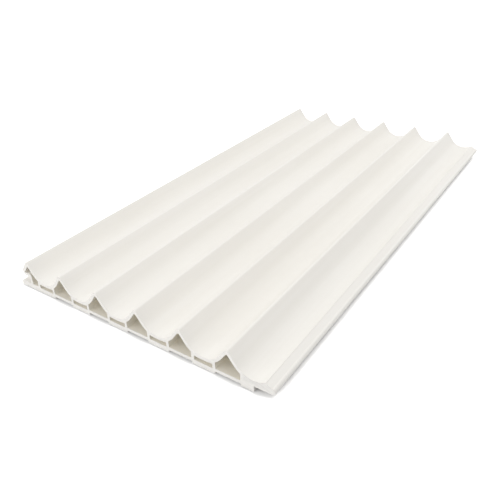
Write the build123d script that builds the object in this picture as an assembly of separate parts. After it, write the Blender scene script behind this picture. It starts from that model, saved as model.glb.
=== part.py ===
"""Fluted wall panel: one length of hollow extruded plastic cladding.

The panel is drawn as its cross-section, seen from the cut end, and extruded along its length.
X runs across the panel from the grooved edge to the tongued edge, Y along its length and Z up,
away from the wall. The origin is on the back face, in the middle of the width and of the length.
Sizes are in millimetres and degrees.
"""
from build123d import *

import math
import os

# Overall sizes
LENGTH = 370.0
FLUTE_PITCH = 32.5
RIDGE_COUNT = 6
PANEL_HEIGHT = 20.0

# Fluted face: narrow ridges with straight flanks and wide round flutes between them
FLUTE_FLOOR_HEIGHT = 7.7
FLANK_LENGTH = 7.6
CREST_RADIUS = 1.5

# Walls and chambers of the hollow section
SKIN = 1.9
WEB = 1.8
BACK_WALL = 3.1
RIDGE_CHAMBER_WIDTH = 16.2
VALLEY_ROOF_RISE = 0.5
CHAMBER_TIP_RADIUS = 0.9
CHAMBER_CORNER_RADIUS = 0.6

# Shallow recesses in the back, one behind each ridge but the first
RECESS_WIDTH = 16.6
RECESS_DEPTH = 1.5
RECESS_ROOF = 2.1
RECESS_CORNER_RADIUS = 0.4

# Grooved edge, under the outer flank of the first ridge
UPPER_LIP_REACH = 5.0
UPPER_LIP_SLANT = 22.0
UPPER_LIP_SKIN = 2.6
LOWER_LIP_REACH = 10.0
LOWER_LIP_THICKNESS = 3.5
LOWER_LIP_NOSE_RADIUS = 1.6
GROOVE_DEPTH = 5.5
GROOVE_FLARE = 1.0
GROOVE_SIDE_WALL = 1.8
GROOVE_ROOF_WALL = 3.0
GROOVE_WALL_RADIUS = 1.8

# Tongued edge, which the groove of the next panel takes
TONGUE_THICKNESS = 4.0
TONGUE_NOSE_RADIUS = 1.8
TONGUE_NOSE_FLAT = 0.2
STEP_HEIGHT = 0.35
STEP_EDGE_RADIUS = 0.3

# Edges of the upper lip
EDGE_RADIUS = 0.4

# Largest share of a wall's thickness that one round on its edge may take
ROUND_SHARE = 0.46

# Clearances between the edges of two joined panels
TONGUE_CLEARANCE = 0.4
TONGUE_END_GAP = 3.5
LOWER_LIP_GAP = 6.0
FACE_GAP = 3.6

# Places across the width, measured from the crest line of the first ridge
COVER_WIDTH = RIDGE_COUNT * FLUTE_PITCH
GROOVE_END = GROOVE_DEPTH - UPPER_LIP_REACH
TONGUE_TIP = COVER_WIDTH + GROOVE_END - TONGUE_END_GAP
LEG_END = COVER_WIDTH - LOWER_LIP_REACH - LOWER_LIP_GAP
FACE_END = COVER_WIDTH - UPPER_LIP_REACH - FACE_GAP
LAST_FLUTE_RUN = FACE_END - COVER_WIDTH + FLUTE_PITCH / 2
OVERALL_WIDTH = LOWER_LIP_REACH + TONGUE_TIP

# Heights of the joint above the back face
TONGUE_BOTTOM = LOWER_LIP_THICKNESS + TONGUE_CLEARANCE
TONGUE_TOP = TONGUE_BOTTOM + TONGUE_THICKNESS
GROOVE_ROOF = TONGUE_TOP + TONGUE_CLEARANCE
GROOVE_MOUTH = GROOVE_ROOF + GROOVE_FLARE

# Slope of the straight flanks, and the radius of the flutes. From a crest line to the lowest line
# of a flute the face bends down, runs straight and bends level again. Both bends turn by the slope.
FACE_RELIEF = PANEL_HEIGHT - FLUTE_FLOOR_HEIGHT
SLOPE = 2 * math.atan(FACE_RELIEF / (FLUTE_PITCH / 2 + FLANK_LENGTH))
BEND_RADII = (FACE_RELIEF / math.sin(SLOPE) - FLANK_LENGTH) / math.tan(SLOPE / 2)
FLUTE_RADIUS = BEND_RADII - CREST_RADIUS

# Heights where the flanks would meet with no bend between them
SHARPNESS = 1 / math.cos(SLOPE) - 1
SHARP_CREST = PANEL_HEIGHT + CREST_RADIUS * SHARPNESS
SHARP_FLUTE = FLUTE_FLOOR_HEIGHT - FLUTE_RADIUS * SHARPNESS

# Chamber sizes that follow from the others
VALLEY_CHAMBER_WIDTH = FLUTE_PITCH - RIDGE_CHAMBER_WIDTH - 2 * WEB
RIDGE_CHAMBER_FLOOR = RECESS_DEPTH + RECESS_ROOF
VALLEY_CHAMBER_ROOF = FLUTE_FLOOR_HEIGHT - SKIN

# Rounds on the edges of thin walls
LOWER_LIP_ROUND = min(LOWER_LIP_NOSE_RADIUS, ROUND_SHARE * LOWER_LIP_THICKNESS)
TONGUE_ROUND = min(TONGUE_NOSE_RADIUS, ROUND_SHARE * TONGUE_THICKNESS)


def crest_x(ridge):
    """Place of a ridge's crest line across the panel, the first ridge being number 0."""
    return LOWER_LIP_REACH - OVERALL_WIDTH / 2 + ridge * FLUTE_PITCH


def flute_x(flute):
    """Place of the lowest line of a flute, which follows the ridge of the same number."""
    return crest_x(flute) + FLUTE_PITCH / 2


def face_slope(distance):
    """Slope of the fluted face at a distance from the lowest line of a flute."""
    if distance < FLUTE_RADIUS * math.sin(SLOPE):
        return math.asin(distance / FLUTE_RADIUS)
    return SLOPE


def face_height(distance):
    """Height of the fluted face at a distance from the lowest line of a flute."""
    if distance < FLUTE_RADIUS * math.sin(SLOPE):
        return FLUTE_FLOOR_HEIGHT + FLUTE_RADIUS * (1 - math.cos(face_slope(distance)))
    return SHARP_FLUTE + distance * math.tan(SLOPE)


def rounded(area, corners, radius):
    """Round the corners of an area that lie nearest to the given points."""
    nearest = [area.vertices().sort_by_distance(corner)[0] for corner in corners]
    return fillet(nearest, radius)


def block(left, right, bottom, top):
    """Rectangle between two places across the width and two heights."""
    return make_face(Polyline((left, bottom), (right, bottom), (right, top), (left, top), close=True))


def under_face(inset, crest_radius):
    """Area under the fluted face, lowered by the thickness of a wall along its surface."""
    drop = inset / math.cos(SLOPE)
    flutes = [(flute_x(flute), SHARP_FLUTE - drop) for flute in range(-1, RIDGE_COUNT + 1)]
    crests = [(crest_x(ridge), SHARP_CREST - drop) for ridge in range(RIDGE_COUNT + 1)]
    zigzag = [point for pair in zip(flutes, crests) for point in pair] + [flutes[-1]]
    below = SHARP_FLUTE - drop - PANEL_HEIGHT
    area = make_face(Polyline(*zigzag, (flutes[-1][0], below), (flutes[0][0], below), close=True))
    area = rounded(area, flutes[1:-1], FLUTE_RADIUS + inset)
    return rounded(area, crests, crest_radius)


def ridge_chamber(envelope, ridge):
    """Hollow under one ridge, pointed at the top and closed by a web on each side."""
    left = crest_x(ridge) - RIDGE_CHAMBER_WIDTH / 2
    right = crest_x(ridge) + RIDGE_CHAMBER_WIDTH / 2
    chamber = envelope & block(left, right, RIDGE_CHAMBER_FLOOR, SHARP_CREST)
    corners = [(left, RIDGE_CHAMBER_FLOOR), (right, RIDGE_CHAMBER_FLOOR)]
    return rounded(chamber, corners, CHAMBER_CORNER_RADIUS)


def valley_chamber(flute):
    """Low hollow between two webs, under the floor of one flute, with a slightly hanging roof."""
    left = flute_x(flute) - VALLEY_CHAMBER_WIDTH / 2
    right = flute_x(flute) + VALLEY_CHAMBER_WIDTH / 2
    top = VALLEY_CHAMBER_ROOF + VALLEY_ROOF_RISE
    outline = Polyline((left, top), (left, BACK_WALL), (right, BACK_WALL), (right, top))
    outline += ThreePointArc((right, top), (flute_x(flute), VALLEY_CHAMBER_ROOF), (left, top))
    return fillet(make_face(outline).vertices(), CHAMBER_CORNER_RADIUS)


def upper_lip_flank():
    """The outer flank of the first ridge, which is thicker than the rest of the face."""
    top = Vector(crest_x(0), SHARP_CREST)
    down = Vector(-FLUTE_PITCH, 0).rotate(Axis.Z, math.degrees(SLOPE))
    inward = Vector(0, -UPPER_LIP_SKIN).rotate(Axis.Z, math.degrees(SLOPE))
    return make_face(Polyline(top, top + down, top + down + inward, top + inward, close=True))


def first_chamber(envelope):
    """Hollow under the first ridge, which bends round the walls of the groove."""
    left = crest_x(0) - RIDGE_CHAMBER_WIDTH / 2
    right = crest_x(0) + RIDGE_CHAMBER_WIDTH / 2
    wall = crest_x(0) + GROOVE_END + GROOVE_SIDE_WALL
    ceiling = GROOVE_ROOF + GROOVE_ROOF_WALL
    groove_walls = block(left - FLUTE_PITCH, wall, -PANEL_HEIGHT, ceiling)
    groove_walls = rounded(groove_walls, [(wall, ceiling)], GROOVE_WALL_RADIUS)
    chamber = envelope & block(left, right, RIDGE_CHAMBER_FLOOR, SHARP_CREST)
    chamber -= groove_walls
    chamber -= upper_lip_flank()
    corners = [(wall, RIDGE_CHAMBER_FLOOR), (right, RIDGE_CHAMBER_FLOOR)]
    return rounded(chamber, corners, CHAMBER_CORNER_RADIUS)


def groove_cut():
    """All that is cut away above the lower lip: the groove and the space outside the upper lip."""
    outside = crest_x(0) - FLUTE_PITCH
    floor = LOWER_LIP_THICKNESS
    inner = crest_x(0) + GROOVE_END
    lip = crest_x(0) - UPPER_LIP_REACH
    lip_top = lip - PANEL_HEIGHT * math.tan(math.radians(UPPER_LIP_SLANT))
    top = GROOVE_MOUTH + PANEL_HEIGHT
    return make_face(Polyline(
        (outside, floor), (inner, floor), (inner, GROOVE_ROOF), (lip, GROOVE_MOUTH),
        (lip_top, top), (outside, top), close=True))


def tongue_cut():
    """Space above the tongue, where the upper lip of the next panel comes."""
    outside = crest_x(RIDGE_COUNT + 1)
    step = crest_x(0) + FACE_END
    root = face_height(LAST_FLUTE_RUN) - STEP_HEIGHT
    nose = crest_x(0) + TONGUE_TIP - TONGUE_ROUND - TONGUE_NOSE_FLAT
    return make_face(Polyline(
        (step, root), (nose, TONGUE_TOP), (outside, TONGUE_TOP),
        (outside, SHARP_CREST), (step, SHARP_CREST), close=True))


def step_round():
    """Radius of the edge where the face ends, which takes only a share of the step's height."""
    corner = math.pi / 2 - face_slope(LAST_FLUTE_RUN)
    return min(STEP_EDGE_RADIUS, ROUND_SHARE * STEP_HEIGHT * math.tan(corner / 2))


def recess(ridge):
    """Shallow recess in the back face behind one ridge."""
    left = crest_x(ridge) - RECESS_WIDTH / 2
    right = crest_x(ridge) + RECESS_WIDTH / 2
    cut = block(left, right, -RECESS_DEPTH, RECESS_DEPTH)
    return rounded(cut, [(left, RECESS_DEPTH), (right, RECESS_DEPTH)], RECESS_CORNER_RADIUS)


def panel_section():
    """Cross-section of the panel, with every chamber, recess and edge."""
    left = crest_x(0) - LOWER_LIP_REACH
    right = crest_x(0) + TONGUE_TIP
    leg = crest_x(0) + LEG_END
    step = crest_x(0) + FACE_END
    lip = crest_x(0) - UPPER_LIP_REACH
    section = under_face(0, CREST_RADIUS) & block(left, right, 0, SHARP_CREST)
    section += block(left, crest_x(0), 0, LOWER_LIP_THICKNESS)
    section -= groove_cut()
    section -= tongue_cut()
    section -= block(leg, crest_x(RIDGE_COUNT + 1), -TONGUE_BOTTOM, TONGUE_BOTTOM)
    section = rounded(section, [(left, 0), (left, LOWER_LIP_THICKNESS)], LOWER_LIP_ROUND)
    section = rounded(section, [(right, TONGUE_BOTTOM), (right, TONGUE_TOP)], TONGUE_ROUND)
    section = rounded(section, [(step, face_height(LAST_FLUTE_RUN))], step_round())
    above_mouth = section.vertices().filter_by(lambda corner: corner.Y > GROOVE_MOUTH)
    lip_edge = above_mouth.sort_by(Axis.X)[0]
    section = rounded(section, [(lip, GROOVE_MOUTH), lip_edge], EDGE_RADIUS)

    envelope = under_face(SKIN, CHAMBER_TIP_RADIUS)
    section -= first_chamber(envelope)
    for ridge in range(1, RIDGE_COUNT):
        section -= ridge_chamber(envelope, ridge)
        section -= recess(ridge)
    for flute in range(RIDGE_COUNT - 1):
        section -= valley_chamber(flute)
    return section


def fluted_panel():
    """The whole panel: its section extruded along the length, half to each side of the origin."""
    return extrude(Plane.XZ * panel_section(), amount=LENGTH / 2, both=True)


os.makedirs("parts", exist_ok=True)
export_step(fluted_panel(), "parts/fluted_panel.step")
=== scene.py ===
# %% [markdown]
# # A fluted wall panel
# The real object is one length of hollow plastic cladding, pressed through a die and sawn to
# length. Six concave flutes lie between narrow ridges. A tongue runs along one long side and a
# groove along the other, so that each panel on a wall slides into the next one.
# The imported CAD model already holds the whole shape, down to the air chambers in the cut ends.
# Loading it is better than modelling it again, because the dimensions then stay exact. This
# lesson adds what a CAD file leaves out: the finish of the plastic, a floor, soft light and a
# camera.

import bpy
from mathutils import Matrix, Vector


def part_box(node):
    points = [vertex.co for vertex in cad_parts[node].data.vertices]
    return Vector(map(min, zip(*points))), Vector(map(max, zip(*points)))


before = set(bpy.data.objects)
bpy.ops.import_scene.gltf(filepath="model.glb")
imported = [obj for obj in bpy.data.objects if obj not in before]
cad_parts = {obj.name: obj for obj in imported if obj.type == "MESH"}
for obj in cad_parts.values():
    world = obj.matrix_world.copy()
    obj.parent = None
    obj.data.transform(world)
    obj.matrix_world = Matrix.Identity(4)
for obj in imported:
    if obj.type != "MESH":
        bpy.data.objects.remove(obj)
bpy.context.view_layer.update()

# %% Tools of this lesson
import math

import bmesh
import bpy
from mathutils import Quaternion, Vector

scene = bpy.context.scene
PANEL = "fluted_panel"
panel_low, panel_high = (Vector(corner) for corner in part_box(PANEL))
panel_size = panel_high - panel_low
print("panel is %.0f x %.0f x %.0f mm" % tuple(1000 * side for side in panel_size))

# %% [markdown]
# ## Camera
# The panel lies on its back and is seen from the right, over one cut end. A lens of about 41 mm
# gives the clear narrowing towards the far end. The camera is turned by three plain angles: round
# the panel, up from the floor, and a small roll, because a hand-held camera is seldom quite
# level. A quaternion does the roll, since turning about the line of sight leaves the aim alone.
# A picture that was trimmed more on one side than on the other no longer has its middle where
# the lens pointed. A small lens shift does the same here. Turning the camera instead would
# change how the long lines run together.

# %% Place the camera
LENS_MM = 40.991
LENS_SHIFT = (0.0311, -0.0278)
CAMERA_AT = Vector((0.2095, -0.3615, 0.2170))
AZIMUTH, ELEVATION, ROLL = (math.radians(angle) for angle in (36.175, 29.995, -2.831))


def line_of_sight(azimuth, elevation):
    """Unit vector from the panel towards the camera."""
    level = math.cos(elevation)
    return Vector((math.sin(azimuth) * level, -math.cos(azimuth) * level, math.sin(elevation)))


def place_camera():
    data = bpy.data.cameras.new("camera")
    data.lens = LENS_MM
    data.shift_x, data.shift_y = LENS_SHIFT
    camera = bpy.data.objects.new("camera", data)
    scene.collection.objects.link(camera)
    back = line_of_sight(AZIMUTH, ELEVATION)
    level_turn = back.to_track_quat("Z", "Y")
    camera.rotation_mode = "QUATERNION"
    camera.rotation_quaternion = Quaternion(back, ROLL) @ level_turn
    camera.location = CAMERA_AT
    return camera


scene.camera = place_camera()
print("camera stands %.0f mm above the floor" % (1000 * CAMERA_AT.z))

# %% [markdown]
# ## Small helpers for node materials
# A procedural material is a network of nodes that works out a colour for every point in space.
# Written out in full, each node takes three or four lines. These helpers make one node a line,
# so that a material below reads like a recipe.


# %% Materials, values and positions
def empty_material(name):
    """A new material, its node tree, and the only node in it, the output."""
    material = bpy.data.materials.new(name)
    material.use_nodes = True
    tree = material.node_tree
    tree.nodes.clear()
    return material, tree, tree.nodes.new("ShaderNodeOutputMaterial")


def feed(tree, socket, value):
    """Link an output to a socket, or write a plain value on it."""
    if isinstance(value, bpy.types.NodeSocket):
        tree.links.new(value, socket)
    else:
        socket.default_value = value


def object_position(tree):
    """Metres from the object's own origin, so that a pattern stays on its piece."""
    return tree.nodes.new("ShaderNodeTexCoord").outputs["Object"]


def split(tree, position):
    """The x, y and z of a position."""
    parts = tree.nodes.new("ShaderNodeSeparateXYZ")
    feed(tree, parts.inputs[0], position)
    return parts.outputs


print("helpers for materials and positions ready")


# %% Sums and masks
def calculate(tree, operation, first, second=0.0, clamp=False):
    node = tree.nodes.new("ShaderNodeMath")
    node.operation = operation
    node.use_clamp = clamp
    feed(tree, node.inputs[0], first)
    feed(tree, node.inputs[1], second)
    return node.outputs[0]


def both(tree, first, second):
    """One where two masks are both one."""
    return calculate(tree, "MULTIPLY", first, second)


def remap(tree, value, old, new, kind="LINEAR"):
    """Carry the range old over to the range new, and stay level beyond its ends."""
    node = tree.nodes.new("ShaderNodeMapRange")
    node.interpolation_type = kind
    value_socket, *range_ends = node.inputs[:5]
    feed(tree, value_socket, value)
    for socket, number in zip(range_ends, (*old, *new)):
        socket.default_value = number
    return node.outputs[0]


def fade(tree, value, over, levels=(0.0, 1.0)):
    """Like remap, with a soft start and end."""
    return remap(tree, value, over, levels, "SMOOTHSTEP")


print("helpers for sums and masks ready")

# %% Mixes
# One Mix node has sockets for each kind of value. These are the places of share, first and second
# among its inputs, and the place of the result among its outputs.
NUMBER_PLACES, COLOUR_PLACES = ((0, 2, 3), 0), ((0, 6, 7), 2)


def mix(tree, kind, places, values):
    node = tree.nodes.new("ShaderNodeMix")
    node.data_type = kind
    inputs, result = places
    for place, value in zip(inputs, values):
        feed(tree, node.inputs[place], value)
    return node.outputs[result]


def mix_number(tree, share, first, second):
    return mix(tree, "FLOAT", NUMBER_PLACES, (share, first, second))


def mix_colour(tree, share, first, second):
    return mix(tree, "RGBA", COLOUR_PLACES, (share, first, second))


print("helpers for mixes ready")

# %% Noise
# More detail lays finer features over the coarse ones, and a higher roughness makes them stronger.
USUAL_DETAIL, MORE_DETAIL = 2.0, 3.0
USUAL_ROUGHNESS, CLOUD_ROUGHNESS, GRITTY = 0.5, 0.55, 0.6
EVEN = (1.0, 1.0, 1.0)


def noise(tree, position, scale, detail=USUAL_DETAIL, roughness=USUAL_ROUGHNESS, stretch=EVEN):
    """Noise from 0 to 1; a stretch below 1 draws it out along that axis."""
    mapping = tree.nodes.new("ShaderNodeMapping")
    feed(tree, mapping.inputs["Vector"], position)
    mapping.inputs["Scale"].default_value = stretch
    texture = tree.nodes.new("ShaderNodeTexNoise")
    tree.links.new(mapping.outputs[0], texture.inputs["Vector"])
    for name, value in (("Scale", scale), ("Detail", detail), ("Roughness", roughness)):
        texture.inputs[name].default_value = value
    return texture.outputs[0]


print("noise helper ready")

# %% [markdown]
# ## Ivory plastic
# Rigid plastic cladding is cream white all the way through and has a satin skin. The skin shows
# how it was made: hairline marks from the die run the full length, and between them is a very
# fine grain. The lines come from noise that is stretched a hundredfold along the panel, so they
# follow the extrusion as the real ones do. Together with faint clouds they also shift the colour
# a little between a pale and a warmer cream, as hot plastic never mixes quite evenly.
# Heights are written in micrometres, which keeps them honest: a die line is about a hundredth of
# a millimetre deep, not something to trip over.

# %% Skin of the plastic
IVORY_PALE = (0.883, 0.863, 0.820, 1.0)
IVORY_WARM = (0.859, 0.835, 0.786, 1.0)
SKIN_ROUGHNESS = (0.48, 0.60)
DIE_LINE_UM, GRAIN_UM = 12.0, 5.0
DIE_LINES_PER_METRE, BROAD_LINES_PER_METRE = 700.0, 160.0
CLOUDS_PER_METRE, GRAINS_PER_METRE = 22.0, 4200.0
LINE_STRETCH, CLOUD_STRETCH = (1.0, 0.01, 1.0), (1.0, 0.35, 1.0)
DIE_LINES_IN_STREAKS, STREAKS_IN_TINT, GRAIN_IN_SHEEN = 0.4, 0.5, 0.4
TINT_RANGE, SHEEN_RANGE = (0.36, 0.64), (0.3, 0.7)


def plastic_skin(tree, position):
    """Colour, roughness and height in micrometres of the extruded surface."""
    die_lines = noise(tree, position, DIE_LINES_PER_METRE, MORE_DETAIL, GRITTY, LINE_STRETCH)
    broad_lines = noise(tree, position, BROAD_LINES_PER_METRE, stretch=LINE_STRETCH)
    clouds = noise(tree, position, CLOUDS_PER_METRE, MORE_DETAIL, CLOUD_ROUGHNESS, CLOUD_STRETCH)
    grain = noise(tree, position, GRAINS_PER_METRE, roughness=GRITTY)
    streaks = mix_number(tree, DIE_LINES_IN_STREAKS, broad_lines, die_lines)
    tint = mix_number(tree, STREAKS_IN_TINT, clouds, streaks)
    colour = mix_colour(tree, fade(tree, tint, TINT_RANGE), IVORY_PALE, IVORY_WARM)
    sheen = mix_number(tree, GRAIN_IN_SHEEN, die_lines, grain)
    roughness = remap(tree, sheen, SHEEN_RANGE, SKIN_ROUGHNESS)
    height = calculate(tree, "ADD", calculate(tree, "MULTIPLY", die_lines, DIE_LINE_UM),
                       calculate(tree, "MULTIPLY", grain, GRAIN_UM))
    return colour, roughness, height


print("die lines up to %.0f micrometres high" % DIE_LINE_UM)

# %% [markdown]
# ## The sawn ends
# A circular saw cuts the panel to length. It leaves a duller face, with fine curved scores side
# by side and a few specks where the teeth tore the plastic. A mask picks these faces out: it is
# one wherever a point lies on either end plane, and nought elsewhere, so one material does the
# whole piece, as in the real panel. The scores are rings about a far centre, where the blade's
# axle was.

# %% Find the sawn faces and their scores
END_DEPTH = 0.0001
END_PLANE = panel_size.y / 2 - END_DEPTH
SAW_AXLE = (0.045, 0.0, -0.110)
SCORES_PER_METRE = 900.0
IN_THE_CUT = (1.0, 0.0, 1.0)


def at_ends(tree, position):
    """One on the two sawn faces, nought on the rest."""
    along = split(tree, position)[1]
    return calculate(tree, "GREATER_THAN", calculate(tree, "ABSOLUTE", along), END_PLANE)


def saw_scores(tree, position):
    """Noise in rings about the saw's axle, the same all along the panel."""
    flat = tree.nodes.new("ShaderNodeVectorMath")
    flat.operation = "MULTIPLY"
    feed(tree, flat.inputs[0], position)
    flat.inputs[1].default_value = IN_THE_CUT
    from_axle = tree.nodes.new("ShaderNodeVectorMath")
    from_axle.operation = "DISTANCE"
    tree.links.new(flat.outputs[0], from_axle.inputs[0])
    from_axle.inputs[1].default_value = SAW_AXLE
    rings = tree.nodes.new("ShaderNodeTexNoise")
    rings.noise_dimensions = "1D"
    tree.links.new(from_axle.outputs["Value"], rings.inputs["W"])
    rings.inputs["Scale"].default_value = SCORES_PER_METRE
    rings.inputs["Detail"].default_value = USUAL_DETAIL
    return rings.outputs[0]


print("sawn faces start %.1f mm from the middle" % (1000 * END_PLANE))

# %% [markdown]
# ## Dull patches of the sawn ends
# A sawn face isn't evenly bright. Dull, greyer patches lie between clean ones, where the blade
# rubbed more than it cut. The thin walls have few of them. The upper part of the solid edge at
# the tongue is greyer nearly all over. So a second mask rises towards that part, and chooses
# between a small and a large share of dull colour.

# %% Finish of a saw cut
CUT_COLOUR = (0.925, 0.905, 0.862, 1.0)
CUT_SPECK = (0.780, 0.750, 0.690, 1.0)
CUT_DULL = (0.795, 0.776, 0.742, 1.0)
CUT_ROUGHNESS = (0.58, 0.78)
SAW_SCORE_UM, TEAR_UM = 60.0, 60.0
TEARS_PER_METRE, TEAR_RANGE, TEAR_SHADE = 1500.0, (0.62, 0.72), 0.35
PATCHES_PER_METRE = 170.0
THIN_PATCHES, THIN_DULLNESS = (0.35, 0.70), (0.0, 0.28)
THICK_PATCHES, THICK_DULLNESS = (0.30, 0.65), (0.45, 1.0)
SCORE_RANGE, SCORE_SHADE = (0.35, 0.65), (-0.2, 0.2)
SOLID_EDGE, DULL_HEIGHT = (0.0800, 0.0825), (0.0040, 0.0056)


def thick_part(tree, position):
    """Towards one in the upper part of the solid tongued edge, nought in the thin walls."""
    across, _, up = split(tree, position)
    return both(tree, fade(tree, across, SOLID_EDGE), fade(tree, up, DULL_HEIGHT))


def dull_share(tree, position, scores):
    """How much of the dull colour shows, from nought to one."""
    patches = noise(tree, position, PATCHES_PER_METRE, MORE_DETAIL, GRITTY)
    thin = fade(tree, patches, THIN_PATCHES, THIN_DULLNESS)
    thick = fade(tree, patches, THICK_PATCHES, THICK_DULLNESS)
    share = mix_number(tree, thick_part(tree, position), thin, thick)
    return calculate(tree, "ADD", share, remap(tree, scores, SCORE_RANGE, SCORE_SHADE), clamp=True)


def saw_cut(tree, position):
    """Colour, roughness and height in micrometres of a sawn face."""
    scores = saw_scores(tree, position)
    tears = fade(tree, noise(tree, position, TEARS_PER_METRE, roughness=GRITTY), TEAR_RANGE)
    shade = calculate(tree, "MULTIPLY", tears, TEAR_SHADE)
    specked = mix_colour(tree, shade, CUT_COLOUR, CUT_SPECK)
    colour = mix_colour(tree, dull_share(tree, position, scores), specked, CUT_DULL)
    roughness = remap(tree, scores, SHEEN_RANGE, CUT_ROUGHNESS)
    height = calculate(tree, "SUBTRACT", calculate(tree, "MULTIPLY", scores, SAW_SCORE_UM),
                       calculate(tree, "MULTIPLY", tears, TEAR_UM))
    return colour, roughness, height


print("saw scores up to %.0f micrometres deep" % SAW_SCORE_UM)

# %% [markdown]
# ## Inside the air chambers
# The inner walls are reached by light only through many bounces, which deepens the cream each
# time. Their colour is a painted shade for that: darker and warmer than the skin. A third mask
# finds them by place: between the lowest chamber floor and a line that stays just under the
# ridges and flutes. The ping-pong node folds the width into one half flute, so that one straight
# line serves all the ridges.

# %% Mask and painted shade of the chambers
# Painted shade: a darker, warmer colour that stands in for the bounced light in the chambers.
CHAMBER_PAINTED_SHADE = (0.860, 0.828, 0.748, 1.0)
FLUTE_PITCH, FIRST_CREST = 0.0325, -0.091
CREST_HEIGHT, FLANK_FALL = 0.0187, 1.30
CHAMBER_FLOOR, CHAMBER_CEILING = 0.0029, 0.0064
CHAMBERS_LEFT, CHAMBERS_RIGHT = -0.0900, 0.0805


def in_chambers(tree, position):
    """One on the walls of the air chambers, nought on the outside of the panel."""
    across, _, up = split(tree, position)
    from_first = calculate(tree, "SUBTRACT", across, FIRST_CREST)
    from_crest = calculate(tree, "PINGPONG", from_first, FLUTE_PITCH / 2)
    fall = calculate(tree, "MULTIPLY", from_crest, FLANK_FALL)
    flank = calculate(tree, "SUBTRACT", CREST_HEIGHT, fall)
    roof = calculate(tree, "MAXIMUM", flank, CHAMBER_CEILING)
    between = both(tree, calculate(tree, "LESS_THAN", up, roof),
                   calculate(tree, "GREATER_THAN", up, CHAMBER_FLOOR))
    beside = both(tree, calculate(tree, "GREATER_THAN", across, CHAMBERS_LEFT),
                  calculate(tree, "LESS_THAN", across, CHAMBERS_RIGHT))
    return both(tree, between, beside)


print("chambers lie from x %.1f to %.1f mm" % (1000 * CHAMBERS_LEFT, 1000 * CHAMBERS_RIGHT))

# %% [markdown]
# ## One plastic for the whole panel
# The masks now put the skin, the sawn ends and the painted shade of the chambers together. The
# bump node reads its height in units of its distance, so a distance of one micrometre lets the
# heights above stay as they were written.

# %% Build the plastic
MICROMETRE = 1e-6
PLASTIC_IOR = 1.5


def ivory_plastic():
    material, tree, output = empty_material("ivory_plastic")
    position = object_position(tree)
    ends, chambers = at_ends(tree, position), in_chambers(tree, position)
    skin_colour, skin_roughness, skin_height = plastic_skin(tree, position)
    cut_colour, cut_roughness, cut_height = saw_cut(tree, position)
    bump = tree.nodes.new("ShaderNodeBump")
    bump.inputs["Distance"].default_value = MICROMETRE
    feed(tree, bump.inputs["Height"], mix_number(tree, ends, skin_height, cut_height))
    plastic = tree.nodes.new("ShaderNodeBsdfPrincipled")
    plastic.inputs["IOR"].default_value = PLASTIC_IOR
    # Painted shade: the chamber walls take the darker, warmer chamber colour.
    uncut = mix_colour(tree, chambers, skin_colour, CHAMBER_PAINTED_SHADE)
    feed(tree, plastic.inputs["Base Color"], mix_colour(tree, ends, uncut, cut_colour))
    roughness = mix_number(tree, ends, skin_roughness, cut_roughness)
    feed(tree, plastic.inputs["Roughness"], roughness)
    tree.links.new(bump.outputs[0], plastic.inputs["Normal"])
    tree.links.new(plastic.outputs[0], output.inputs["Surface"])
    return material


plastic = ivory_plastic()
print("ivory_plastic has", len(plastic.node_tree.nodes), "nodes")

# %% Dress the panel
panel = bpy.data.objects[PANEL]
for slot in panel.material_slots:
    slot.material = plastic
print("panel wears", [slot.material.name for slot in panel.material_slots])

# %% [markdown]
# ## Floor
# A product picture stands on white paper. The floor is a white, dull sheet, large enough to reach
# the edge of the picture in every direction. Plain paper would look slightly grey under soft
# light, so the camera and reflections see a paler paper than the one that lights the panel. A few
# millimetres out from the panel its colour is past white, so the faint outer shadow fades away,
# as a retoucher would let it. Along the panel's edge it is close to plain white, which keeps the
# line of contact, and further in under the panel it is darker, a painted shadow. Light reaches in
# under the raised tongue, so there the painted shadow starts a few millimetres further in. The
# floor lies a little under the panel, because a real panel never touches all along, and a thin
# dark gap shows there.
# Every flute but the last lies between two ridges, which pass light on to each other's flanks.
# A photographer helps the last one with a white card laid beside the panel. Here the paper gives
# back more light on that side.

# %% How far off the panel a point of the floor is
# TONGUE_SETBACK moves the edge of the painted shadow this far in under the raised tongue.
TONGUE_ROOT, TONGUE_SETBACK = 0.089, 0.0045


def off_the_panel(tree):
    """Distance on the floor from the panel's low edges, less than nought under the panel."""
    across, along, _ = split(tree, object_position(tree))
    centred = calculate(tree, "ABSOLUTE", calculate(tree, "ADD", across, TONGUE_SETBACK / 2))
    beside = calculate(tree, "SUBTRACT", centred, (panel_size.x - TONGUE_SETBACK) / 2)
    under_tongue = remap(tree, across, (TONGUE_ROOT, panel_high.x), (0.0, TONGUE_SETBACK))
    lengthwise = calculate(tree, "ADD", calculate(tree, "ABSOLUTE", along), under_tongue)
    beyond = calculate(tree, "SUBTRACT", lengthwise, panel_size.y / 2)
    return calculate(tree, "MAXIMUM", beside, beyond)


print("under the tongue the edge counts %.1f mm further in" % (1000 * TONGUE_SETBACK))

# %% Paper that looks white to the camera
PAPER_WHITE, CARD_WHITE = 0.40, 0.75
CARD_FADE = (0.12, 0.16)
SHOWN_PAINTED_SHADOW, SHOWN_AT_EDGE, SHOWN_WHITE = 0.55, 1.15, 1.90
PAINTED_SHADOW_FADE, OUTWARD_FADE = (-0.0060, -0.0005), (0.0000, 0.0038)


def seen_directly(tree):
    """One for camera, mirror and see-through rays, nought for light that bounces."""
    path = tree.nodes.new("ShaderNodeLightPath").outputs
    seen = calculate(tree, "ADD", path["Is Camera Ray"], path["Is Glossy Ray"], clamp=True)
    return calculate(tree, "ADD", seen, path["Is Transmission Ray"], clamp=True)


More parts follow.
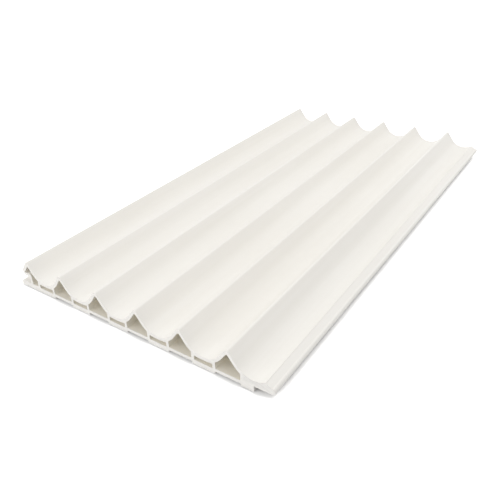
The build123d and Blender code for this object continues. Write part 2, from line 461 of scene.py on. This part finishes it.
def white_paper():
    material, tree, output = empty_material("white_paper")
    paper = tree.nodes.new("ShaderNodeBsdfDiffuse")
    distance = off_the_panel(tree)
    # Painted shadow: under the panel the paper is shown darker than white.
    under = fade(tree, distance, PAINTED_SHADOW_FADE, (SHOWN_PAINTED_SHADOW, SHOWN_AT_EDGE))
    around = fade(tree, distance, OUTWARD_FADE, (0.0, SHOWN_WHITE - SHOWN_AT_EDGE))
    shown = calculate(tree, "ADD", under, around)
    across = split(tree, object_position(tree))[0]
    lit = fade(tree, across, CARD_FADE, (PAPER_WHITE, CARD_WHITE))
    feed(tree, paper.inputs["Color"], mix_number(tree, seen_directly(tree), lit, shown))
    tree.links.new(paper.outputs[0], output.inputs["Surface"])
    return material


print("paper lights the panel as %.2f, the card as %.2f" % (PAPER_WHITE, CARD_WHITE))

# %% Lay the floor
FLOOR_HALF_SIZE = 6.0
FLOOR_GAP = 0.0007


def lay_floor():
    mesh = bpy.data.meshes.new("floor")
    shape = bmesh.new()
    bmesh.ops.create_grid(shape, x_segments=1, y_segments=1, size=FLOOR_HALF_SIZE)
    bmesh.ops.translate(shape, verts=shape.verts, vec=(0.0, 0.0, panel_low.z - FLOOR_GAP))
    shape.to_mesh(mesh)
    shape.free()
    mesh.materials.append(white_paper())
    floor = bpy.data.objects.new("floor", mesh)
    scene.collection.objects.link(floor)
    return floor


lay_floor()
print("floor is %.0f m across" % (2 * FLOOR_HALF_SIZE))

# %% [markdown]
# ## Light
# Flutes read only by their shading, so the light needs a direction, but a gentle one. Most of it
# is even light from all round, as in a white tent. One large soft lamp hangs straight above, so
# the floors of the flutes are bright and their steep flanks fall off softly. A second stands low
# at the front left, for the flanks that face left, and far enough off to light all six flutes
# alike. A third stands straight in front, for the sawn end, and a weak one beyond the far end
# keeps the distant part of the panel bright.
# Lamps and tent together show a level surface in about its own colour, so that pale plastic
# keeps its shading instead of turning plain white.
# Light finds its way into the narrow air chambers only by bouncing from wall to wall. With the
# usual four bounces they would look dirty, so the limit goes up.

# %% Even light from all round
SKY_STRENGTH, SHOWN_SKY = 0.71, 1.0
WHITE = (1.0, 1.0, 1.0, 1.0)


def tent_light():
    world = bpy.data.worlds.new("tent")
    world.use_nodes = True
    tree = world.node_tree
    tree.nodes.clear()
    sky = tree.nodes.new("ShaderNodeBackground")
    strength = mix_number(tree, seen_directly(tree), SKY_STRENGTH, SHOWN_SKY)
    feed(tree, sky.inputs["Strength"], strength)
    feed(tree, sky.inputs["Color"], WHITE)
    output = tree.nodes.new("ShaderNodeOutputWorld")
    tree.links.new(sky.outputs[0], output.inputs["Surface"])
    return world


scene.world = tent_light()
print("even light at", SKY_STRENGTH)

# %% Bounces
LIGHT_BOUNCES, OTHER_BOUNCES = 12, 2
scene.cycles.diffuse_bounces = LIGHT_BOUNCES
scene.cycles.max_bounces = LIGHT_BOUNCES + OTHER_BOUNCES
print("light may bounce", LIGHT_BOUNCES, "times")

# %% Soft lamps: place in metres, width in metres, power in watts
LAMPS = {
    "top_lamp": ((0.0, 0.1, 1.8), 1.1, 4.8),
    "left_lamp": ((-2.00, -2.58, 1.52), 2.4, 27.2),
    "front_lamp": ((0.0, -1.69, 0.62), 1.0, 6.0),
    "far_lamp": ((0.35, 0.75, 0.55), 0.5, 0.95),
}


def soft_lamp(name, place, width, watts):
    """A round lamp that points at the middle of the panel."""
    data = bpy.data.lights.new(name, "AREA")
    data.shape = "DISK"
    data.size = width
    data.energy = watts
    lamp = bpy.data.objects.new(name, data)
    scene.collection.objects.link(lamp)
    lamp.location = place
    lamp.rotation_mode = "QUATERNION"
    lamp.rotation_quaternion = Vector(place).to_track_quat("Z", "Y")
    return lamp


for name, (place, width, watts) in LAMPS.items():
    soft_lamp(name, place, width, watts)
    print(name, "at", place, "with", watts, "W")

# %% [markdown]
# ## Colour
# The Standard view shows colours as they are written.

# %% Finish
scene.view_settings.view_transform = "Standard"
